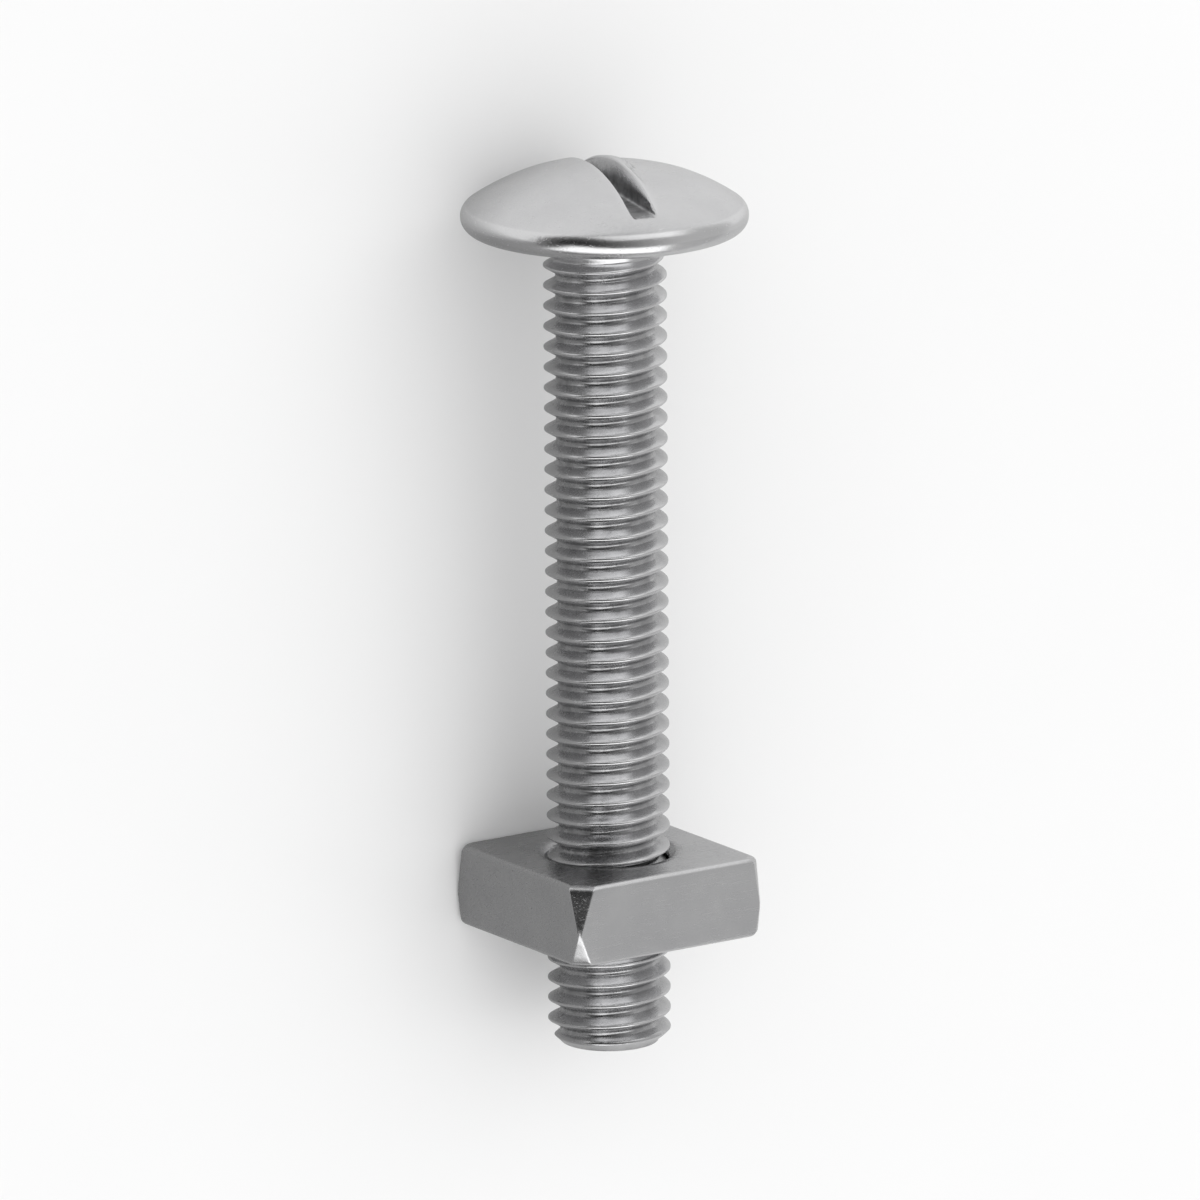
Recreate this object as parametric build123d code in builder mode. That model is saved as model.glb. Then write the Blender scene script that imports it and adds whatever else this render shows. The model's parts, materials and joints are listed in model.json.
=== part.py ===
from build123d import *

import math
import os

# A roofing bolt with a slotted mushroom head, and its square nut, run down near the tail.
# Sizes are in millimetres and angles in degrees. Places along the bolt are measured from
# the flat seat under the head.

# Bolt
bolt_length = 39.8  # seat to tail
tail_chamfer = 0.6
neck_diameter = 5.36
neck_length = 1.3
neck_chamfer = 0.3  # between the neck and the seat

# Thread, M6 x 1, right-handed: a ridge of flat facets that winds round the shank
thread_diameter = 5.88  # over the crests
root_diameter = 4.774
pitch = 1.0
crest_place = 0.3656  # from the seat to a crest, straight up from the axis
thread_start = 1.0  # where the run-out rises from the neck
facets_per_turn = 16

# Head
head_diameter = 13.7
head_height = 3.3
rim_height = 1.05  # side of the head, before its edges are rounded
rim_lower_radius = 0.65
rim_upper_radius = 0.68

# Driver slot
slot_width = 1.3
slot_depth = 1.55
slot_turn = -14  # about the bolt's axis, from straight up towards +X

# Square nut
across_flats = 10.5
nut_thickness = 3.9
nut_corner_radius = 0.8
nut_edge_radius = 0.45
bore_clearance = 0.06  # radial, over the thread's crests
bore_chamfer = 0.3
tail_past_nut = 5.4

# Worked out from the sizes above
thread_radius = thread_diameter / 2
root_radius = root_diameter / 2
neck_radius = neck_diameter / 2
head_radius = head_diameter / 2
dome_rise = head_height - rim_height
dome_radius = (head_radius**2 + dome_rise**2) / (2 * dome_rise)
dome_centre = head_height - dome_radius
dome_start = math.degrees(math.atan2(rim_height - dome_centre, head_radius))
tail_radius = thread_radius - tail_chamfer
nut_tail_side = bolt_length - tail_past_nut
nut_head_side = nut_tail_side - nut_thickness

# At rest the bolt lies on the rounded rim of its head and on the nut's tail-side edge, so its
# axis leans. The lean is that of the line that touches both roundings from below.
rim_out = head_radius - rim_lower_radius
edge_out = across_flats / 2 - nut_edge_radius
rim_to_edge = nut_tail_side - nut_edge_radius + rim_lower_radius
lean = math.atan2(rim_out - edge_out, rim_to_edge) + math.asin(
    (rim_lower_radius - nut_edge_radius) / math.hypot(rim_out - edge_out, rim_to_edge)
)

# The origin is under the middle of the part's box, on the surface it lies on
reach_to_head = dome_centre * math.cos(lean) + dome_radius
reach_to_tail = bolt_length * math.cos(lean) + tail_radius * math.sin(lean)
seat_y = (reach_to_tail - reach_to_head) / 2
seat_z = rim_out * math.cos(lean) + rim_lower_radius * (1 - math.sin(lean))
seat_centre = (0, seat_y, seat_z)
towards_head = (0, math.cos(lean), math.sin(lean))
bolt_axis = Axis(seat_centre, towards_head)

# The seat's plane faces the head. The section plane holds the axis, which is its Y.
seat = Plane(seat_centre, x_dir=(1, 0, 0), z_dir=towards_head)
section = Plane(seat_centre, x_dir=(1, 0, 0), z_dir=(0, -math.sin(lean), math.cos(lean)))


def helix(radius, start, steps):
    """Points of a helix about the axis, one for each facet, from a height over the seat."""
    points = []
    for step in range(steps + 1):
        turn = math.tau * step / facets_per_turn
        height = start + pitch * step / facets_per_turn
        place = (radius * math.sin(turn), -radius * math.cos(turn), height)
        points.append(seat.from_local_coords(place))
    return points


def threaded_rod():
    """The winding ridge as a closed solid, longer than the shank at both ends."""
    turns = math.ceil(bolt_length / pitch) + 3
    steps = turns * facets_per_turn
    lowest = (2 - turns) * pitch - crest_place
    crest = helix(thread_radius, lowest, steps)
    root = helix(root_radius, lowest + pitch / 2, steps)
    last = steps - facets_per_turn
    triangles = []
    for here in range(last):
        above = here + facets_per_turn
        triangles.append((crest[here], crest[here + 1], root[here + 1]))
        triangles.append((crest[here], root[here + 1], root[here]))
        triangles.append((root[here], root[here + 1], crest[above + 1]))
        triangles.append((root[here], crest[above + 1], crest[above]))
    for end in (0, last):
        rim = [*crest[end : end + facets_per_turn + 1], root[end]]
        height = lowest + pitch * end / facets_per_turn
        centre = seat.from_local_coords((0, 0, height))
        for first, second in zip(rim, rim[1:] + rim[:1]):
            triangles.append((centre, first, second))
    return Solid(Shell([Face(Wire.make_polygon(corners)) for corners in triangles]))


# Shank: the thread, cut to length, with its run-out and the chamfer at the tail
with BuildPart() as shank:
    add(threaded_rod())
    with BuildSketch(section):
        with BuildLine():
            over = tail_chamfer / 2  # how far the outline passes inside the neck and over the crests
            wide = thread_radius + over
            Polyline(
                (0, over - thread_start),
                (neck_radius - over, over - thread_start),
                (wide, neck_radius - wide - thread_start),
                (wide, wide - tail_radius - bolt_length),
                (tail_radius, -bolt_length),
                (0, -bolt_length),
                close=True,
            )
        make_face()
    revolve(axis=bolt_axis, mode=Mode.INTERSECT)

# Bolt: the head and neck are one turned shape, with the slot cut across the dome
with BuildPart() as bolt:
    with BuildSketch(section) as half_section:
        with BuildLine():
            Polyline(
                (0, head_height),
                (0, -neck_length),
                (neck_radius, -neck_length),
                (neck_radius, 0),
                (head_radius, 0),
                (head_radius, rim_height),
            )
            CenterArc((0, dome_centre), dome_radius, dome_start, 90 - dome_start)
        make_face()
        corners = half_section.vertices()
        neck = corners.sort_by_distance((neck_radius, 0))[0]
        chamfer(neck, neck_chamfer)
        corners = half_section.vertices()
        lower_rim = corners.sort_by_distance((head_radius, 0))[0]
        fillet(lower_rim, rim_lower_radius)
        corners = half_section.vertices()
        upper_rim = corners.sort_by_distance((head_radius, rim_height))[0]
        fillet(upper_rim, rim_upper_radius)
    revolve(axis=bolt_axis)

    with BuildSketch(seat.offset(head_height - slot_depth)):
        Rectangle(slot_width, head_diameter, rotation=slot_turn)
    extrude(amount=head_height, mode=Mode.SUBTRACT)
    add(shank.part)

# Nut: a square block with rounded edges, bored to run on the thread's crests
with BuildPart() as square_nut:
    with BuildSketch(seat.offset(-nut_tail_side)):
        RectangleRounded(across_flats, across_flats, nut_corner_radius)
    extrude(amount=nut_thickness)
    flats = square_nut.faces().sort_by(bolt_axis)
    fillet(flats[0].edges() + flats[-1].edges(), nut_edge_radius)

    with Locations(seat.offset(-nut_head_side)):
        Hole(thread_radius + bore_clearance)
    flats = square_nut.faces().filter_by(seat).sort_by(bolt_axis)
    mouths = flats[0].inner_wires()[0].edges() + flats[-1].inner_wires()[0].edges()
    chamfer(mouths, bore_chamfer)

bolt.part.label = "bolt"
square_nut.part.label = "square_nut"
os.makedirs("parts", exist_ok=True)
export_step(bolt.part, "parts/bolt.step")
export_step(square_nut.part, "parts/square_nut.step")
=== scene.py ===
import json
import math

import bmesh
import bpy
from mathutils import Matrix, Vector, noise


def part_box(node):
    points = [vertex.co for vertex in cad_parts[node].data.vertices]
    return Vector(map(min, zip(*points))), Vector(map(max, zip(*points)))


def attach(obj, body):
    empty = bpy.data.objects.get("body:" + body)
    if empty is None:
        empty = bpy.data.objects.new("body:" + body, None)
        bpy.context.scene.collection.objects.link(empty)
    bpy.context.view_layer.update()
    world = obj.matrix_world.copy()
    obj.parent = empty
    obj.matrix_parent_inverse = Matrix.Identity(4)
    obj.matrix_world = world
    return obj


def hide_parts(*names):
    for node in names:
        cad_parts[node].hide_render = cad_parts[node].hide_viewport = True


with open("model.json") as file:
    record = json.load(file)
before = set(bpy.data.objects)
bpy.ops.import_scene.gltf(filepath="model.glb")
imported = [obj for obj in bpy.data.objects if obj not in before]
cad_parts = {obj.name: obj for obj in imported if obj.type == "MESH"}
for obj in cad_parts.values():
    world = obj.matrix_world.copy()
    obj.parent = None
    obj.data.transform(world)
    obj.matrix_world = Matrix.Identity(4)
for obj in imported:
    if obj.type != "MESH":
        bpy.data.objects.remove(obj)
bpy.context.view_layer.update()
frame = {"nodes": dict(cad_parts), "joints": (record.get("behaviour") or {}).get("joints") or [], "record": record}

# A bright zinc plated roofing bolt and its square nut, lying on a pale floor.
#
# Both pieces are built around the bolt's axis. Lengths are in millimetres until the last step,
# which turns them into metres. A point is given by its distance from the axis, its turn about
# the axis (from straight up towards +X, in radians) and its height, measured from the flat seat
# under the head towards the top of the head. Places down the shank have negative heights.

MM = 0.001

# ---------------------------------------------------------------- places, from the frame

mounts = {mount["name"]: mount for mount in frame["record"]["mounts"]}
seat_centre = Vector(mounts["head_seat"]["pos_m"])
towards_head = Vector(frame["joints"][0]["axis"]).normalized()
across = Vector((1.0, 0.0, 0.0))
upward = across.cross(towards_head)


def height_of(point):
    """Height of a point given in metres, in millimetres above the seat."""
    return (Vector(point) - seat_centre).dot(towards_head) / MM


def node_heights(name):
    """Lowest and highest place of a CAD node along the bolt's axis."""
    heights = [height_of(vertex.co) for vertex in frame["nodes"][name].data.vertices]
    return min(heights), max(heights)


def node_half_width(name):
    """Half of a CAD node's width across the bolt."""
    low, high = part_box(name)
    return (high.x - low.x) / 2 / MM


# ---------------------------------------------------------------- sizes

# Thread, M6 x 1, right-handed. Places in a pitch are counted from the middle of a crest.
PITCH = 1.0
CREST_RADIUS = 2.94
FIRST_CREST = -1.3656  # height of a crest at turn zero
BOLT_PROFILE = (
    (0.00, 2.940),
    (0.04, 2.934),
    (0.07, 2.905),
    (0.20, 2.680),
    (0.33, 2.455),
    (0.37, 2.403),
    (0.42, 2.373),
    (0.50, 2.360),
    (0.58, 2.373),
    (0.63, 2.403),
    (0.67, 2.455),
    (0.80, 2.680),
    (0.93, 2.905),
    (0.96, 2.934),
)
NUT_PROFILE = (
    (0.00, 3.030),
    (0.09, 3.015),
    (0.15, 2.950),
    (0.36, 2.590),
    (0.42, 2.520),
    (0.50, 2.500),
    (0.58, 2.520),
    (0.64, 2.590),
    (0.85, 2.950),
    (0.91, 3.015),
)

# Shank
TAIL_HEIGHT = node_heights("bolt")[0]
TAIL_CHAMFER = 0.6
TAIL_RADIUS = CREST_RADIUS - TAIL_CHAMFER
NECK_RADIUS = 2.68
NECK_FILLET = 0.32
RUNOUT_START = -0.75  # where the first turn of the thread begins to rise
RUNOUT_END = -1.75  # where it has its full depth
SHANK_COLUMNS = 120
TAIL_DISH = ((2.25, 0.03), (2.0, 0.09), (1.5, 0.14), (0.9, 0.17), (0.4, 0.18))  # radius, depth

# Head
HEAD_RADIUS = node_half_width("bolt")
HEAD_HEIGHT = 3.3
RIM_HEIGHT = 1.05
RIM_LOWER_RADIUS = 0.65
RIM_UPPER_RADIUS = 0.68
DOME_RISE = HEAD_HEIGHT - RIM_HEIGHT
DOME_RADIUS = (HEAD_RADIUS**2 + DOME_RISE**2) / (2 * DOME_RISE)
DOME_CENTRE = HEAD_HEIGHT - DOME_RADIUS
DOME_WAVE_SPREAD = 2.6
DOME_WAVE_DEPTH = 0.03
DOME_SINK = 0.26  # how far the dome lies lower to the right of the slot

# Driver slot
SLOT_HALF_WIDTH = 0.65
SLOT_FLOOR = height_of(mounts["driver_slot"]["pos_m"])
SLOT_TURN = math.radians(-14)
SLOT_LIP = 0.10
SLOT_LIP_WALL = 0.35  # height of the slot's wall where its lip is fully rounded
SLOT_LIP_WEAR = 0.25  # how far the wear reaches beyond the lip
SLOT_SHADE = 1.5  # painted shade in the slot, against that in the thread's roots
SLOT_SHADE_DEPTH = 0.6  # how deep the slot is where the painted shade is full

# Square nut
NUT_HEAD_SIDE = height_of(mounts["nut_seat"]["pos_m"])
NUT_TAIL_SIDE = node_heights("square_nut")[0]
NUT_HALF_WIDTH = node_half_width("square_nut")
NUT_EDGE = 0.28
NUT_BEND = 0.16  # rounding of the edges between its flats and corner facets
FACET_CUTS = (0.36, 0.42, 0.42, 0.80)  # how far the corner facets reach along the flats
FACET_TAIL_SHARE = 0.75  # of that at the tail side
FACET_WAIST = 0.60  # where they are narrowest, as a share of the thickness from the head side
SINK_RADIUS = 3.27  # of the hole's countersinks, at the nut's faces
SINK_SLOPE = 1.1  # how much they narrow for each millimetre in


# ---------------------------------------------------------------- helpers


def blend_between(value, start, end):
    """0 before start, 1 after end, and a smooth rise between them."""
    share = min(max((value - start) / (end - start), 0.0), 1.0)
    return share * share * (3 - 2 * share)


def mix(first, second, share):
    return first + (second - first) * share


def unevenness(x, y, z, spread, depth):
    """Slow waves of a forged surface, up to about depth, each about spread wide."""
    return depth * noise.noise(Vector((x, y, z)) / spread)


# ---------------------------------------------------------------- skins


class Skin:
    """The points and faces of one closed piece, and for each point its edge wear and how deep in a recess it lies,
    where the finish paints shade.
    """

    def __init__(self):
        self.points = []
        self.faces = []
        self.recess = []
        self.edge = []

    def point(self, radius, turn, height, recess=0.0, edge=0.0):
        side = across * math.sin(turn) + upward * math.cos(turn)
        self.points.append(seat_centre + (side * radius + towards_head * height) * MM)
        self.recess.append(recess)
        self.edge.append(edge)
        return len(self.points) - 1

    def ring(self, radius, turns, height, recess=0.0, edge=0.0):
        return [self.point(radius, turn, height, recess, edge) for turn in turns]

    def face(self, *corners):
        """A face, without the corners that fall on each other."""
        kept = list(dict.fromkeys(corners))
        if len(kept) > 2:
            self.faces.append(kept)

    def band(self, first, second):
        """Faces between two rings of as many points."""
        for here in range(len(first)):
            after = (here + 1) % len(first)
            self.face(first[here], first[after], second[after], second[here])

    def fan(self, ring, centre):
        for here in range(len(ring)):
            self.face(ring[here], ring[(here + 1) % len(ring)], centre)

    def zip_rings(self, first, first_turns, second, second_turns):
        """Triangles between two rings of different counts, whose turns both rise."""
        one, two = 0, 0
        first_turns = list(first_turns) + [first_turns[0] + math.tau]
        second_turns = list(second_turns) + [second_turns[0] + math.tau]
        while one < len(first) or two < len(second):
            step_first = two == len(second) or (
                one < len(first) and first_turns[one + 1] <= second_turns[two + 1]
            )
            here_one, here_two = first[one % len(first)], second[two % len(second)]
            if step_first:
                one += 1
                self.face(here_one, first[one % len(first)], here_two)
            else:
                two += 1
                self.face(here_one, second[two % len(second)], here_two)

    def piece(self, name):
        """The finished object, closed and smooth, with its two masks."""
        mesh = bpy.data.meshes.new(name)
        mesh.from_pydata([tuple(point) for point in self.points], [], self.faces)
        for mask, values in (("recess", self.recess), ("edge", self.edge)):
            layer = mesh.attributes.new(mask, "FLOAT", "POINT")
            layer.data.foreach_set("value", values)
        work = bmesh.new()
        work.from_mesh(mesh)
        bmesh.ops.recalc_face_normals(work, faces=work.faces)
        for face in work.faces:
            face.smooth = True
        work.to_mesh(mesh)
        work.free()
        made = bpy.data.objects.new(name, mesh)
        bpy.context.scene.collection.objects.link(made)
        return made


def even_turns(count):
    return [math.tau * index / count for index in range(count)]


def thread_skin(skin, profile, top, bottom, columns, radius_at):
    """A helical skin whose rows follow the thread from height top down to height bottom.
    radius_at(height, radius, crest) gives the radius there, and returns the end rings."""
    rows = []
    turn = -3
    while FIRST_CREST - turn * PITCH > bottom - 2 * PITCH:
        for place, radius in profile:
            height = FIRST_CREST - (turn + place) * PITCH
            crest = abs(place - 0.5) * 2
            rows.append((height, radius, crest))
        turn += 1
    rows = [row for row in rows if row[0] < top + 2.2 * PITCH]
    start = next(i for i, row in enumerate(rows) if row[0] <= top + 1.1 * PITCH)
    rows = rows[start - start % len(profile) :]

    table = []
    for column in range(columns):
        share = column / columns
        turn = math.tau * share
        line = []
        last_height = None
        for height, radius, crest in rows:
            here = min(max(height + share * PITCH, bottom), top)
            if here != last_height:
                found, recess, edge = radius_at(here, radius, crest)
                line.append(skin.point(found, turn, here, recess, edge))
                last_height = here
            else:
                line.append(line[-1])
        table.append(line)
    for column in range(columns):
        left, right = table[column], table[(column + 1) % columns]
        shift = len(profile) if column == columns - 1 else 0
        for row in range(len(rows) - 1):
            skin.face(
                left[row],
                left[row + 1],
                right[max(row + 1 - shift, 0)],
                right[max(row - shift, 0)],
            )
    return [line[0] for line in table], [line[-1] for line in table]


# ---------------------------------------------------------------- the bolt


def shank_radius(height, radius, crest):
    """The rolled thread, its run-out below the head and the chamfer at the tail."""
    depth = blend_between(height, RUNOUT_START, RUNOUT_END)
    found = mix(NECK_RADIUS, radius, depth)
    cone = TAIL_RADIUS + (height - TAIL_HEIGHT)
    cut = cone < found
    # the thread's roots are a recess, where the finish paints shade
    recess = (1 - crest) * depth
    edge = 0.0 if cut else max(0.0, crest * 3 - 2) * depth
    return min(found, cone), recess, edge


def add_shank(skin):
    return thread_skin(
        skin, BOLT_PROFILE, RUNOUT_START, TAIL_HEIGHT, SHANK_COLUMNS, shank_radius
    )


def add_tail(skin, ring):
    """The sheared end, slightly dished."""
    turns = even_turns(SHANK_COLUMNS)
    for radius, sink in TAIL_DISH:
        # the dished end gets a little painted shade
        inner = skin.ring(radius, turns, TAIL_HEIGHT + sink, 0.2)
        skin.band(ring, inner)
        ring = inner
    deepest = TAIL_DISH[-1][1]
    skin.fan(ring, skin.point(0.0, 0.0, TAIL_HEIGHT + deepest, 0.2))


def add_neck(skin, ring):
    """The plain neck, its fillet and the inner part of the flat seat."""
    turns = even_turns(SHANK_COLUMNS)
    # the last number of each section is how much painted shade the neck and its fillet get
    sections = [(NECK_RADIUS, -0.55, 0.3), (NECK_RADIUS, -NECK_FILLET, 0.6)]
    for step in range(1, 6):
        angle = math.radians(18 * step)
        radius = NECK_RADIUS + NECK_FILLET * (1 - math.cos(angle))
        height = -NECK_FILLET * (1 - math.sin(angle))
        sections.append((radius, height, 1.0 - 0.1 * step))
    sections += [(3.3, 0.0, 0.3), (3.9, 0.0, 0.1)]
    for radius, height, recess in sections:
        inner = skin.ring(radius, turns, height, recess)
        skin.band(ring, inner)
        ring = inner
    return ring, turns


def dome_height(radius):
    return DOME_CENTRE + math.sqrt(DOME_RADIUS**2 - radius**2)


def rim_section():
    """Radius, height and wear of the rim's rings, from the seat to the edge of the dome."""
    section = [(4.6, 0.0, 0.0), (5.4, 0.0, 0.0), (HEAD_RADIUS - RIM_LOWER_RADIUS - 0.25, 0.0, 0.0)]
    for step in range(9):
        angle = math.radians(90 * step / 8)
        section.append((
            HEAD_RADIUS - RIM_LOWER_RADIUS * (1 - math.sin(angle)),
            RIM_LOWER_RADIUS * (1 - math.cos(angle)),
            0.3,
        ))
    corner = HEAD_RADIUS - RIM_UPPER_RADIUS
    reach = DOME_RADIUS - RIM_UPPER_RADIUS
    corner_height = DOME_CENTRE + math.sqrt(reach**2 - corner**2)
    lean = math.asin(corner / reach)
    for step in range(8):
        angle = mix(math.pi / 2, lean, step / 7)
        section.append((
            corner + RIM_UPPER_RADIUS * math.sin(angle),
            corner_height + RIM_UPPER_RADIUS * math.cos(angle),
            1.0,
        ))
    return section


def slot_height(side):
    """Height of the slot's floor and walls, side millimetres from its middle."""
    places = (0.0, 0.48, 0.53, 0.57, 0.60, 0.62, 0.65)
    rises = (0.0, 0.00, 0.02, 0.07, 0.14, 0.45, 1.75)
    side = min(abs(side), places[-1])
    for index in range(len(places) - 1):
        if side <= places[index + 1]:
            share = (side - places[index]) / (places[index + 1] - places[index])
            return SLOT_FLOOR + mix(rises[index], rises[index + 1], share)
    return SLOT_FLOOR + rises[-1]


def pressed_dome(side, along):
    """The dome as it left the press: lower to the right of the slot, with a raised burr
    along the far part of the right lip, and slow waves all over."""
    radius = math.hypot(side, along)
    height = dome_height(radius)
    burr = 1 - blend_between(along, 0.2, 0.9)
    start = mix(0.68, 1.0, burr)
    sunk = blend_between(side, start, start + 0.45) * (1 - blend_between(radius, 2.2, 4.6))
    height -= DOME_SINK * sunk
    waves = unevenness(side, along, 0.0, DOME_WAVE_SPREAD, DOME_WAVE_DEPTH)
    height += waves * (1 - blend_between(radius, 5.2, 6.4))
    return min(height, HEAD_HEIGHT)


def head_surface(side, along):
    """Height, recess and edge wear on top of the head, beside and along the slot."""
    top = pressed_dome(side, along)
    formed = min(max(0.0, top - SLOT_FLOOR) / SLOT_LIP_WALL, 1.0)
    lip = SLOT_LIP * formed
    away = abs(side) - SLOT_HALF_WIDTH
    if away >= lip:
        return top, 0.0, max(0.0, 1 - (away - lip) / SLOT_LIP_WEAR) * formed * 0.5
    if away >= 0:
        return top - lip + math.sqrt(max(lip**2 - (lip - away) ** 2, 0.0)), 0.0, formed
    floor = slot_height(side)
    gap = top - lip - floor
    height = (top - lip + floor - math.sqrt(gap**2 + 0.05**2)) / 2
    # the slot's inside is a recess, where the finish paints shade
    recess = SLOT_SHADE * min(max((top - height) / SLOT_SHADE_DEPTH, 0.0), 1.0)
    return height, recess, 0.0


def head_lines(outer):
    """Places of the grid's lines beside the slot's middle: on its cross line, and at the
    dome's edge. Lines near the slot are straight, and the last one is the dome's edge."""
    straight = [0.0, 0.17, 0.33, 0.48, 0.53, 0.57, 0.60, 0.62, 0.645]
    straight += [0.65, 0.658, 0.672, 0.695, 0.725, 0.76, 0.83, 0.93, 1.05]
    bent = 30
    corner = outer * math.sin(math.radians(50))
    lines = [(place, place) for place in straight]
    for step in range(1, bent + 1):
        share = step / bent
        lines.append((
            mix(straight[-1], outer, share),
            mix(straight[-1], corner, share),
        ))
    mirrored = [(-middle, -end) for middle, end in reversed(lines[1:])]
    return mirrored + lines


def grid_place(middle, end, outer, share):
    """A point of a line of the head's grid, share -1 to 1 along it: side and along."""
    reach = math.sqrt(outer**2 - end**2)
    bulge = abs(middle) - abs(end)
    if bulge < 1e-6:
        return end, reach * share
    radius = (reach**2 + bulge**2) / (2 * bulge)
    angle = 2 * math.atan(bulge / reach) * share
    side = abs(middle) - radius * (1 - math.cos(angle))
    return math.copysign(side, middle), radius * math.sin(angle)


def add_dome(skin, outer):
    """The dome and its slot, as a grid along the slot. Returns the ring around it."""
    steps = 96
    lines = head_lines(outer)
    grid = []
    for middle, end in lines:
        row = []
        for step in range(steps + 1):
            side, along = grid_place(middle, end, outer, 2 * step / steps - 1)
            height, recess, edge = head_surface(side, along)
            turn = math.atan2(side, along) + SLOT_TURN
            row.append(skin.point(math.hypot(side, along), turn, height, recess, edge))
        grid.append(row)
    for first, second in zip(grid, grid[1:]):
        for step in range(steps):
            skin.face(first[step], first[step + 1], second[step + 1], second[step])
    ring = [row[-1] for row in grid]
    ring += list(reversed(grid[-1]))[1:]
    ring += [row[0] for row in reversed(grid)][1:]
    ring += grid[0][1:-1]
    return ring


def turn_of(place):
    """Turn of a point about the bolt's axis, from 0 to a full turn."""
    offset = place - seat_centre
    return math.atan2(offset.dot(across), offset.dot(upward)) % math.tau


def make_bolt():
    skin = Skin()
    top_ring, tail_ring = add_shank(skin)
    add_tail(skin, tail_ring)
    seat_ring, seat_turns = add_neck(skin, top_ring)

    section = rim_section()
    outer, dome_edge_height, _ = section[-1]
    dome_ring = add_dome(skin, outer)
    turns = [turn_of(skin.points[index]) for index in dome_ring]
    first = turns.index(min(turns))
    dome_ring = dome_ring[first:] + dome_ring[:first]
    turns = turns[first:] + turns[:first]

    ring = None
    for radius, height, edge in section[:-1]:
        outer_ring = skin.ring(radius, turns, height, 0.0, edge)
        if ring is None:
            skin.zip_rings(seat_ring, seat_turns, outer_ring, turns)
        else:
            skin.band(ring, outer_ring)
        ring = outer_ring
    skin.band(ring, dome_ring)
    return skin.piece("bolt_body")


# ---------------------------------------------------------------- the nut

FLAT_STEPS = 7  # from the middle of a flat to its corner
BEND_STEPS = 4  # around each edge of a corner facet
FACET_STEPS = 3  # across a corner facet
EDGE_STEPS = 6  # around the edge between a face and the sides
SIDE_STEPS = 12  # along the sides
BEND_REACH = NUT_BEND * math.tan(math.radians(22.5))  # from a bent edge to where its rounding ends
NUT_COLUMNS = 4 * (2 * FLAT_STEPS + 2 * BEND_STEPS + FACET_STEPS)


def nut_corner(half_width, cut):
    """Points around a corner that is cut off flat, cut from where its flats would meet."""
    straight = half_width - cut - BEND_REACH
    bend = []
    for step in range(BEND_STEPS + 1):
        angle = math.radians(45 * step / BEND_STEPS)
        bend.append((
            straight + NUT_BEND * math.sin(angle),
            half_width - NUT_BEND + NUT_BEND * math.cos(angle),
        ))
    near, far = bend[-1]
    facet = []
    for step in range(1, FACET_STEPS):
        share = step / FACET_STEPS
        facet.append((mix(near, far, share), mix(far, near, share)))
    return bend + facet + [(y, x) for x, y in reversed(bend)]


def nut_outline(half_width, widen):
    """Radius and turn of each point around the nut, starting at the middle of its top flat.
    The corner facets have widen of their full cut."""
    least = BEND_REACH * math.sqrt(2)
    places = []
    for side, full_cut in enumerate(FACET_CUTS):
        corner = nut_corner(half_width, least + full_cut * widen)
        start, end = corner[0], corner[-1]
        quarter = [(start[0] * step / FLAT_STEPS, start[1]) for step in range(FLAT_STEPS)]
        quarter += corner
        for step in range(1, FLAT_STEPS):
            quarter.append((end[0], end[1] * (1 - step / FLAT_STEPS)))
        for x, y in quarter:
            places.append((math.hypot(x, y), math.atan2(x, y) + side * math.pi / 2))
    return places


def nut_levels():
    """Height, inset and widening of the corner facets of each ring around the nut, from its
    head side to its tail side. The facets are narrowest at their waist."""
    levels = []
    thickness = NUT_HEAD_SIDE - NUT_TAIL_SIDE
    for step in range(EDGE_STEPS + 1):
        angle = math.radians(90 * step / EDGE_STEPS)
        inset = NUT_EDGE * (1 - math.sin(angle))
        levels.append((NUT_HEAD_SIDE - NUT_EDGE * (1 - math.cos(angle)), inset))
    for step in range(1, SIDE_STEPS):
        height = mix(NUT_HEAD_SIDE - NUT_EDGE, NUT_TAIL_SIDE + NUT_EDGE, step / SIDE_STEPS)
        levels.append((height, 0.0))
    for step in range(EDGE_STEPS + 1):
        angle = math.radians(90 * (1 - step / EDGE_STEPS))
        inset = NUT_EDGE * (1 - math.sin(angle))
        levels.append((NUT_TAIL_SIDE + NUT_EDGE * (1 - math.cos(angle)), inset))
    found = []
    for height, inset in levels:
        place = (NUT_HEAD_SIDE - height) / thickness
        if place < FACET_WAIST:
            widen = 1 - place / FACET_WAIST
        else:
            widen = FACET_TAIL_SHARE * (place - FACET_WAIST) / (1 - FACET_WAIST)
        found.append((height, inset, widen))
    return found


def nut_bore_radius(height, radius, crest):
    """The tapped hole and its countersinks."""
    from_head = NUT_HEAD_SIDE - height
    from_tail = height - NUT_TAIL_SIDE
    cone = SINK_RADIUS - min(from_head, from_tail) * SINK_SLOPE
    # the hole is a recess throughout, with painted shade, most in its thread's roots
    return max(radius, cone), 0.55 + 0.45 * crest, 0.0


def add_nut_face(skin, outline_ring, hole_ring):
    """A flat face of the nut, between its outline and its hole."""
    ring = outline_ring
    shares = (0.12, 0.35, 0.62, 0.86)
    outer = [skin.points[index] for index in outline_ring]
    inner = [skin.points[index] for index in hole_ring]
    for share in shares:
        made = []
        for one, two in zip(outer, inner):
            skin.points.append(one.lerp(two, share))
            # the face gets some painted shade next to the hole
            skin.recess.append(0.0 if share < 0.8 else 0.35)
            skin.edge.append(0.0)
            made.append(len(skin.points) - 1)
        skin.band(ring, made)
        ring = made
    skin.band(ring, hole_ring)


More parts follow.
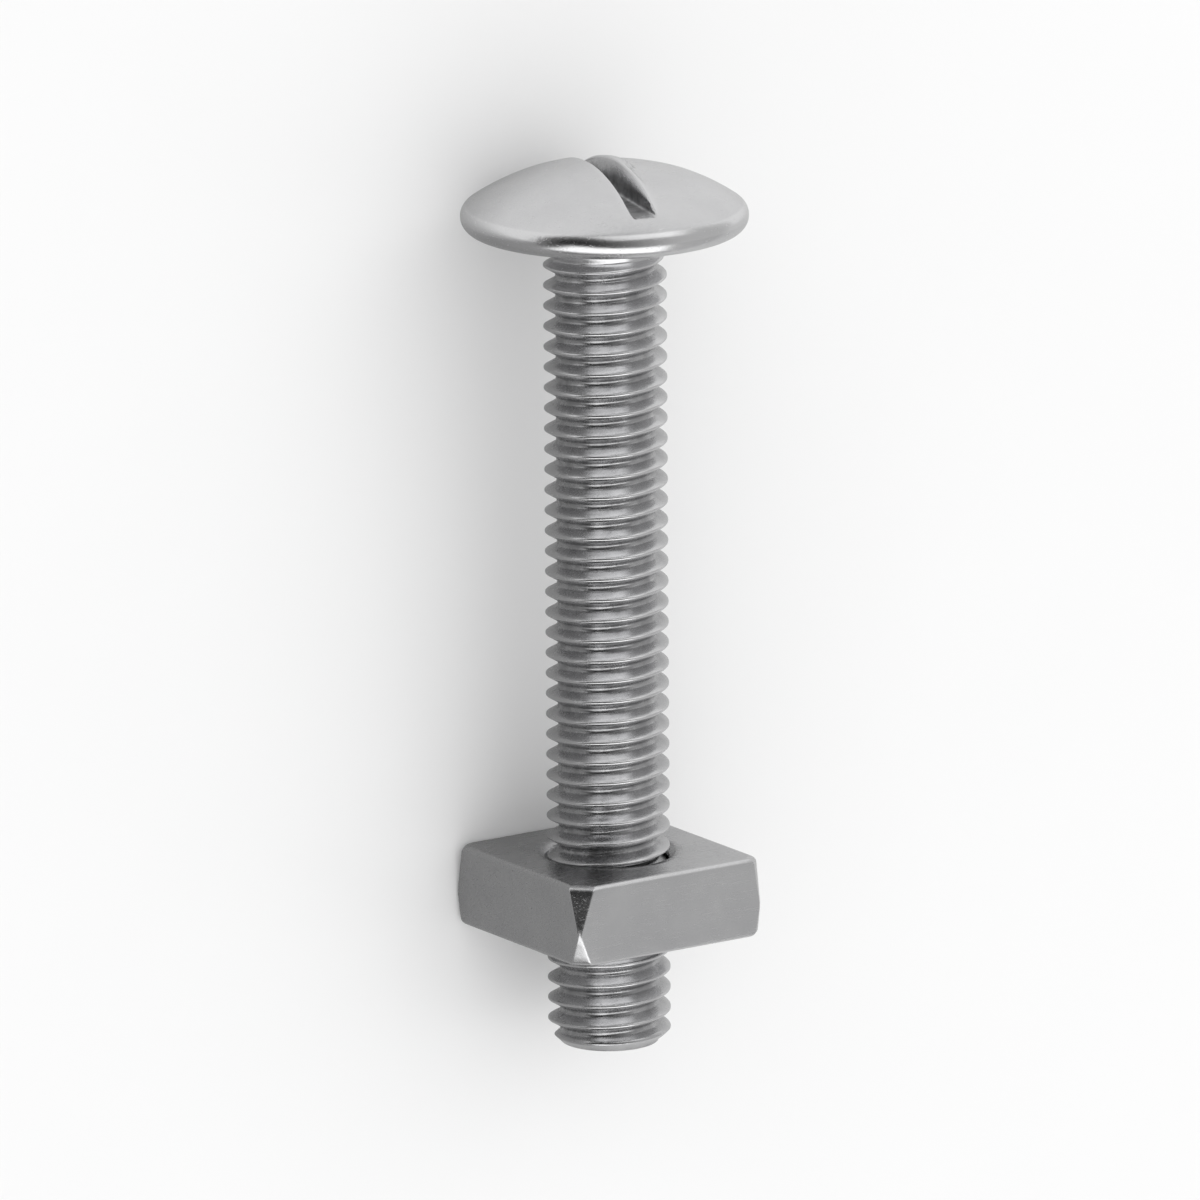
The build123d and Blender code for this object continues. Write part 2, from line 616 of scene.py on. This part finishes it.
def make_nut():
    skin = Skin()
    rings = []
    for height, inset, widen in nut_levels():
        ring = []
        for radius, turn in nut_outline(NUT_HALF_WIDTH - inset, widen):
            edge = min(1.0, inset / NUT_EDGE * 2) if 0 < inset < NUT_EDGE else 0.0
            ring.append(skin.point(radius, turn, height, 0.0, edge))
        if rings:
            skin.band(rings[-1], ring)
        rings.append(ring)
    head_hole, tail_hole = thread_skin(
        skin, NUT_PROFILE, NUT_HEAD_SIDE, NUT_TAIL_SIDE, NUT_COLUMNS, nut_bore_radius
    )
    add_nut_face(skin, rings[0], head_hole)
    add_nut_face(skin, rings[-1], tail_hole)
    return skin.piece("square_nut_body")


# ---------------------------------------------------------------- finishes


def place_node(tree, kind, **settings):
    node = tree.nodes.new(kind)
    for name, value in settings.items():
        setattr(node, name, value)
    return node


def new_group(name, inputs, outputs):
    """A shader node group with its input and output nodes."""
    group = bpy.data.node_groups.new(name, "ShaderNodeTree")
    for socket, kind, value in inputs:
        made = group.interface.new_socket(socket, in_out="INPUT", socket_type=kind)
        if value is not None:
            made.default_value = value
    for socket, kind in outputs:
        group.interface.new_socket(socket, in_out="OUTPUT", socket_type=kind)
    return group, group.nodes.new("NodeGroupInput"), group.nodes.new("NodeGroupOutput")


def plating_cloud_group():
    """Cloudy change in the plating: a large soft pattern broken by a finer one."""
    group, inlet, outlet = new_group(
        "plating_cloud",
        [
            ("Place", "NodeSocketVector", None),
            ("Scale", "NodeSocketFloat", 500.0),
            ("Contrast", "NodeSocketFloat", 1.0),
        ],
        [("Mask", "NodeSocketFloat")],
    )
    cloud = place_node(group, "ShaderNodeTexNoise")
    cloud.inputs["Detail"].default_value = 4.0
    cloud.inputs["Roughness"].default_value = 0.6
    cloud.inputs["Distortion"].default_value = 0.4
    spread = place_node(group, "ShaderNodeMath", operation="SUBTRACT")
    spread.inputs[1].default_value = 0.5
    gain = place_node(group, "ShaderNodeMath", operation="MULTIPLY")
    centred = place_node(group, "ShaderNodeMath", operation="ADD", use_clamp=True)
    centred.inputs[1].default_value = 0.5
    link = group.links.new
    link(inlet.outputs["Place"], cloud.inputs["Vector"])
    link(inlet.outputs["Scale"], cloud.inputs["Scale"])
    link(cloud.outputs["Fac"], spread.inputs[0])
    link(spread.outputs[0], gain.inputs[0])
    link(inlet.outputs["Contrast"], gain.inputs[1])
    link(gain.outputs[0], centred.inputs[0])
    link(centred.outputs[0], outlet.inputs["Mask"])
    return group


def handling_marks_group():
    """Fine scratches that run every way, from tumbling with other bolts in the plating barrel."""
    group, inlet, outlet = new_group(
        "handling_marks",
        [
            ("Place", "NodeSocketVector", None),
            ("Scale", "NodeSocketFloat", 900.0),
            ("Amount", "NodeSocketFloat", 0.5),
        ],
        [("Marks", "NodeSocketFloat")],
    )
    link = group.links.new
    total = None
    for angles, stretch in (((0.3, 0.9, 0.2), 14.0), ((1.3, 0.2, 1.1), 18.0)):
        turned = place_node(group, "ShaderNodeMapping")
        turned.inputs["Rotation"].default_value = angles
        turned.inputs["Scale"].default_value = (1.0, stretch, stretch)
        lines = place_node(group, "ShaderNodeTexNoise")
        lines.inputs["Detail"].default_value = 2.0
        ramp = place_node(group, "ShaderNodeMapRange")
        ramp.inputs["From Min"].default_value = 0.62
        ramp.inputs["From Max"].default_value = 0.74
        link(inlet.outputs["Place"], turned.inputs["Vector"])
        link(turned.outputs["Vector"], lines.inputs["Vector"])
        link(inlet.outputs["Scale"], lines.inputs["Scale"])
        link(lines.outputs["Fac"], ramp.inputs["Value"])
        if total is None:
            total = ramp.outputs["Result"]
        else:
            both = place_node(group, "ShaderNodeMath", operation="MAXIMUM")
            link(total, both.inputs[0])
            link(ramp.outputs["Result"], both.inputs[1])
            total = both.outputs[0]
    scaled = place_node(group, "ShaderNodeMath", operation="MULTIPLY")
    link(total, scaled.inputs[0])
    link(inlet.outputs["Amount"], scaled.inputs[1])
    link(scaled.outputs[0], outlet.inputs["Marks"])
    return group


def recess_shade_group():
    """Mask for the painted shade in recesses, the thread's roots and the slot's corners, broken into patches; the
    finish also makes them rougher.
    """
    group, inlet, outlet = new_group(
        "recess_shade",
        [
            ("Place", "NodeSocketVector", None),
            ("Recess", "NodeSocketFloat", 0.0),
            ("Amount", "NodeSocketFloat", 0.5),
        ],
        [("Mask", "NodeSocketFloat")],
    )
    patches = place_node(group, "ShaderNodeTexNoise")
    patches.inputs["Scale"].default_value = 1400.0
    patches.inputs["Detail"].default_value = 3.0
    shape = place_node(group, "ShaderNodeMapRange")
    shape.inputs["From Min"].default_value = 0.35
    shape.inputs["From Max"].default_value = 0.65
    shape.inputs["To Min"].default_value = 0.45
    shape.inputs["To Max"].default_value = 1.0
    inside = place_node(group, "ShaderNodeMath", operation="MULTIPLY")
    scaled = place_node(group, "ShaderNodeMath", operation="MULTIPLY", use_clamp=True)
    link = group.links.new
    link(inlet.outputs["Place"], patches.inputs["Vector"])
    link(patches.outputs["Fac"], shape.inputs["Value"])
    link(shape.outputs["Result"], inside.inputs[0])
    link(inlet.outputs["Recess"], inside.inputs[1])
    link(inside.outputs[0], scaled.inputs[0])
    link(inlet.outputs["Amount"], scaled.inputs[1])
    link(scaled.outputs[0], outlet.inputs["Mask"])
    return group


def placed_group(tree, group, place, **values):
    node = tree.nodes.new("ShaderNodeGroup")
    node.node_tree = group
    tree.links.new(place, node.inputs["Place"])
    for name, value in values.items():
        node.inputs[name].default_value = value
    return node


def mixed_colour(tree, mask, first, second):
    """A colour between first and second by mask. Each is a colour or a socket."""
    node = place_node(tree, "ShaderNodeMix", data_type="RGBA")
    tree.links.new(mask, node.inputs["Factor"])
    for socket, value in ((node.inputs["A"], first), (node.inputs["B"], second)):
        if isinstance(value, tuple):
            socket.default_value = (*value, 1.0)
        else:
            tree.links.new(value, socket)
    return node.outputs["Result"]


def mixed_value(tree, mask, first, second):
    node = place_node(tree, "ShaderNodeMix", data_type="FLOAT")
    tree.links.new(mask, node.inputs["Factor"])
    for socket, value in ((node.inputs["A"], first), (node.inputs["B"], second)):
        if isinstance(value, float):
            socket.default_value = value
        else:
            tree.links.new(value, socket)
    return node.outputs["Result"]


def rising(tree, value, start, end):
    """0 where a value is under start, 1 where it is over end, and a smooth rise between."""
    node = place_node(tree, "ShaderNodeMapRange", interpolation_type="SMOOTHSTEP")
    node.inputs["From Min"].default_value = start
    node.inputs["From Max"].default_value = end
    tree.links.new(value, node.inputs["Value"])
    return node.outputs["Result"]


ROUGHER = 0.12  # how much rougher scratches and recesses are than the plating
RUBBED = 1.15  # how much brighter its rubbed edges are


def zinc_plating(name, groups, bright, dull, recess_shade_colour, polish, satin, marks, recess_shade_amount):
    """Bright zinc plating. bright and dull are its two tones, polish and satin its lowest and highest roughness.
    Its recesses get painted shade, a dark grey, and are rougher."""
    cloud, scratches, recess_shading = groups
    material = bpy.data.materials.new(name)
    material.use_nodes = True
    tree = material.node_tree
    shader = tree.nodes["Principled BSDF"]
    shader.inputs["Metallic"].default_value = 1.0
    coordinates = place_node(tree, "ShaderNodeTexCoord")
    place = coordinates.outputs["Object"]
    recess = place_node(tree, "ShaderNodeAttribute", attribute_name="recess")
    edge = place_node(tree, "ShaderNodeAttribute", attribute_name="edge")

    large = placed_group(tree, cloud, place, Scale=420.0, Contrast=1.6)
    small = placed_group(tree, cloud, place, Scale=2600.0, Contrast=1.2)
    scratched = placed_group(tree, scratches, place, Scale=700.0, Amount=marks)
    recess_shade_mask = placed_group(tree, recess_shading, place, Amount=recess_shade_amount)
    tree.links.new(recess.outputs["Fac"], recess_shade_mask.inputs["Recess"])

    colour = mixed_colour(tree, large.outputs["Mask"], bright, dull)
    # Painted shade: the recesses are darkened towards a dark grey.
    colour = mixed_colour(tree, recess_shade_mask.outputs["Mask"], colour, recess_shade_colour)
    worn = place_node(tree, "ShaderNodeMath", operation="MULTIPLY")
    worn.inputs[1].default_value = 0.5
    tree.links.new(edge.outputs["Fac"], worn.inputs[0])
    rubbed = tuple(min(1.0, value * RUBBED) for value in bright)
    colour = mixed_colour(tree, worn.outputs[0], colour, rubbed)
    tree.links.new(colour, shader.inputs["Base Color"])

    rough = mixed_value(tree, small.outputs["Mask"], polish, satin)
    rough = mixed_value(tree, scratched.outputs["Marks"], rough, satin + ROUGHER)
    rough = mixed_value(tree, recess_shade_mask.outputs["Mask"], rough, satin + ROUGHER)
    tree.links.new(rough, shader.inputs["Roughness"])

    relief = place_node(tree, "ShaderNodeMath", operation="SUBTRACT")
    tree.links.new(small.outputs["Mask"], relief.inputs[0])
    tree.links.new(scratched.outputs["Marks"], relief.inputs[1])
    bump = place_node(tree, "ShaderNodeBump")
    bump.inputs["Strength"].default_value = 0.25
    bump.inputs["Distance"].default_value = 0.00002
    tree.links.new(relief.outputs[0], bump.inputs["Height"])
    tree.links.new(bump.outputs["Normal"], shader.inputs["Normal"])
    return material


def grey(value):
    return (value, value, value)


def pale_board_and_painted_reflection():
    """The floor: matt white board with a hint of grain. Polished metal sees a painted reflection in its place,
    plain grey: a painted shadow to the left of the bolt, lighter to the right, and painted light ahead of the
    bolt's head, so that the metal keeps its contrast."""
    material = bpy.data.materials.new("pale_board_and_painted_reflection")
    material.use_nodes = True
    tree = material.node_tree
    shader = tree.nodes["Principled BSDF"]
    shader.inputs["Roughness"].default_value = 0.9
    shader.inputs["Specular IOR Level"].default_value = 0.1
    coordinates = place_node(tree, "ShaderNodeTexCoord")
    place = coordinates.outputs["Object"]
    grain = place_node(tree, "ShaderNodeTexNoise")
    grain.inputs["Scale"].default_value = 60.0
    tree.links.new(place, grain.inputs["Vector"])
    board = mixed_colour(tree, grain.outputs["Fac"], grey(0.86), grey(0.88))
    parts = place_node(tree, "ShaderNodeSeparateXYZ")
    tree.links.new(place, parts.inputs["Vector"])
    # Painted reflection seen only by the metal: darker to the left as painted shadow, lighter to the right, and
    # painted light ahead of the head.
    to_the_right = rising(tree, parts.outputs["X"], -0.012, 0.008)
    painted_reflection = mixed_colour(tree, to_the_right, grey(0.28), grey(0.56))
    ahead = rising(tree, parts.outputs["Y"], 0.014, 0.028)
    painted_reflection = mixed_colour(tree, ahead, painted_reflection, grey(0.74))
    rays = place_node(tree, "ShaderNodeLightPath")
    tone = mixed_colour(tree, rays.outputs["Is Glossy Ray"], board, painted_reflection)
    tree.links.new(tone, shader.inputs["Base Color"])
    return material


# ---------------------------------------------------------------- the studio


def make_floor():
    reach = 6.0
    mesh = bpy.data.meshes.new("floor")
    corners = [(-reach, -reach, 0.0), (reach, -reach, 0.0), (reach, reach, 0.0), (-reach, reach, 0.0)]
    mesh.from_pydata(corners, [], [(0, 1, 2, 3)])
    mesh.materials.append(pale_board_and_painted_reflection())
    floor = bpy.data.objects.new("floor", mesh)
    floor.location.z = -0.00001
    bpy.context.scene.collection.objects.link(floor)


# What the metal reflects: air that is dim on the left and lighter on the right, walls that
# are a little lighter low down, and panels.
#
# Each panel has a direction, half a width and height in degrees, and the light that it adds.
AIR_LEFT = 0.02
AIR_RIGHT = 0.50
WALLS = 0.16
WALLS_TOP = 0.34  # how far up they reach, as the sine of the angle
PANELS = (
    ((-0.40, -0.63, 0.67), 40, 20, 1.42),  # the bright strip above the bolt's tail
    ((0.12, 0.86, 0.50), 26, 20, 0.60),  # the one beyond its head
)
PANEL_SOFTNESS = 8  # degrees
TENT = 1.12  # the white tent that lights the floor
BACKDROP = 0.93  # the backdrop behind the floor's edge


def along(tree, direction, axis):
    """How far a direction points along an axis, -1 to 1."""
    node = place_node(tree, "ShaderNodeVectorMath", operation="DOT_PRODUCT")
    tree.links.new(direction, node.inputs[0])
    node.inputs[1].default_value = axis
    return node.outputs["Value"]


def combined(tree, operation, first, second):
    """A Math node over two values, each a number or a socket."""
    node = place_node(tree, "ShaderNodeMath", operation=operation)
    for socket, value in zip(node.inputs, (first, second)):
        if isinstance(value, float):
            socket.default_value = value
        else:
            tree.links.new(value, socket)
    return node.outputs[0]


def panel_mask(tree, direction, centre, half_width, half_height):
    """1 inside a panel with soft edges, and 0 outside it."""
    centre = Vector(centre).normalized()
    side = (across - centre * across.dot(centre)).normalized()
    mask = rising(tree, along(tree, direction, centre), 0.0, 0.2)
    for axis, half in ((side, half_width), (centre.cross(side), half_height)):
        away = combined(tree, "ABSOLUTE", along(tree, direction, axis), 0.0)
        start = math.sin(math.radians(half + PANEL_SOFTNESS))
        end = math.sin(math.radians(half - PANEL_SOFTNESS))
        mask = combined(tree, "MULTIPLY", mask, rising(tree, away, start, end))
    return mask


def mirrored_light(tree, direction):
    """Brightness of the air, the walls and the panels in a direction."""
    lighter = rising(tree, along(tree, direction, across), -0.8, 0.6)
    total = mixed_value(tree, lighter, AIR_LEFT, AIR_RIGHT)
    low = rising(tree, along(tree, direction, (0, 0, 1)), WALLS_TOP, 0.0)
    total = combined(tree, "ADD", total, combined(tree, "MULTIPLY", low, WALLS))
    for centre, half_width, half_height, level in PANELS:
        mask = panel_mask(tree, direction, centre, half_width, half_height)
        total = combined(tree, "ADD", total, combined(tree, "MULTIPLY", mask, level))
    return total


def make_world():
    """A white tent for the floor, and air and panels for the metal to mirror."""
    world = bpy.data.worlds.new("studio")
    bpy.context.scene.world = world
    world.use_nodes = True
    tree = world.node_tree
    coordinates = place_node(tree, "ShaderNodeTexCoord")
    rays = place_node(tree, "ShaderNodeLightPath")
    light = mirrored_light(tree, coordinates.outputs["Generated"])
    light = mixed_value(tree, rays.outputs["Is Diffuse Ray"], light, TENT)
    light = mixed_value(tree, rays.outputs["Is Camera Ray"], light, BACKDROP)
    tree.links.new(light, tree.nodes["Background"].inputs["Color"])


def soft_box(name, centre, target, width, height, power):
    """A rectangular soft light at centre that faces target."""
    light = bpy.data.lights.new(name, "AREA")
    light.shape = "RECTANGLE"
    light.size = width
    light.size_y = height
    light.energy = power
    lamp = bpy.data.objects.new(name, light)
    lamp.location = centre
    facing = Vector(centre) - Vector(target)
    lamp.rotation_mode = "QUATERNION"
    lamp.rotation_quaternion = facing.to_track_quat("Z", "Y")
    bpy.context.scene.collection.objects.link(lamp)
    return lamp


def make_lights():
    """A key light from the right that gives the shadows a direction. The metal mirrors the
    panels instead of it."""
    key = soft_box("key_panel", (0.45, -0.15, 0.42), (0, 0, 0), 0.22, 0.30, 0.12)
    key.visible_glossy = False


def make_camera():
    """Looks down the bolt's side, a little from its head, with the head at the top."""
    turn = math.radians(-34)
    rise = math.radians(14.3)
    lean_left = math.radians(0.364)
    distance = 1.0
    frame_width = 0.05714
    aim_height = -18.15
    aim_left = 0.328
    out = across * math.sin(turn) + upward * math.cos(turn)
    right = across * math.cos(turn) - upward * math.sin(turn)
    back = out * math.cos(rise) + towards_head * math.sin(rise)
    up = towards_head * math.cos(rise) - out * math.sin(rise)
    aim = seat_centre + towards_head * aim_height * MM - right * aim_left * MM
    turned_right = right * math.cos(lean_left) - up * math.sin(lean_left)
    turned_up = up * math.cos(lean_left) + right * math.sin(lean_left)
    data = bpy.data.cameras.new("camera")
    data.sensor_width = 36.0
    data.lens = 36.0 * distance / frame_width
    data.clip_start = 0.1
    data.clip_end = 50.0
    camera = bpy.data.objects.new("camera", data)
    place = Matrix((turned_right, turned_up, back)).transposed().to_4x4()
    place.translation = aim + back * distance
    camera.matrix_world = place
    bpy.context.scene.collection.objects.link(camera)
    bpy.context.scene.camera = camera


def make_finishes():
    groups = (plating_cloud_group(), handling_marks_group(), recess_shade_group())
    bolt_zinc = zinc_plating(
        "zinc_on_bolt",
        groups,
        bright=(0.74, 0.74, 0.745),
        dull=(0.66, 0.66, 0.67),
        # the dark grey of the painted shade in the thread's roots and the slot
        recess_shade_colour=(0.17, 0.17, 0.175),
        polish=0.16,
        satin=0.26,
        marks=0.5,
        recess_shade_amount=0.62,
    )
    nut_zinc = zinc_plating(
        "zinc_on_nut",
        groups,
        bright=(0.72, 0.72, 0.725),
        dull=(0.63, 0.63, 0.64),
        # the grey of the painted shade in the nut's hole and beside it
        recess_shade_colour=(0.34, 0.34, 0.35),
        polish=0.18,
        satin=0.30,
        marks=0.6,
        recess_shade_amount=0.35,
    )
    return bolt_zinc, nut_zinc


make_camera()
make_world()
make_lights()
make_floor()
bolt_zinc, nut_zinc = make_finishes()

bolt = make_bolt()
bolt.data.materials.append(bolt_zinc)
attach(bolt, "bolt")
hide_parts("bolt")

nut = make_nut()
nut.data.materials.append(nut_zinc)
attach(nut, "nut")
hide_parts("square_nut")

bpy.context.scene.view_settings.view_transform = "Standard"
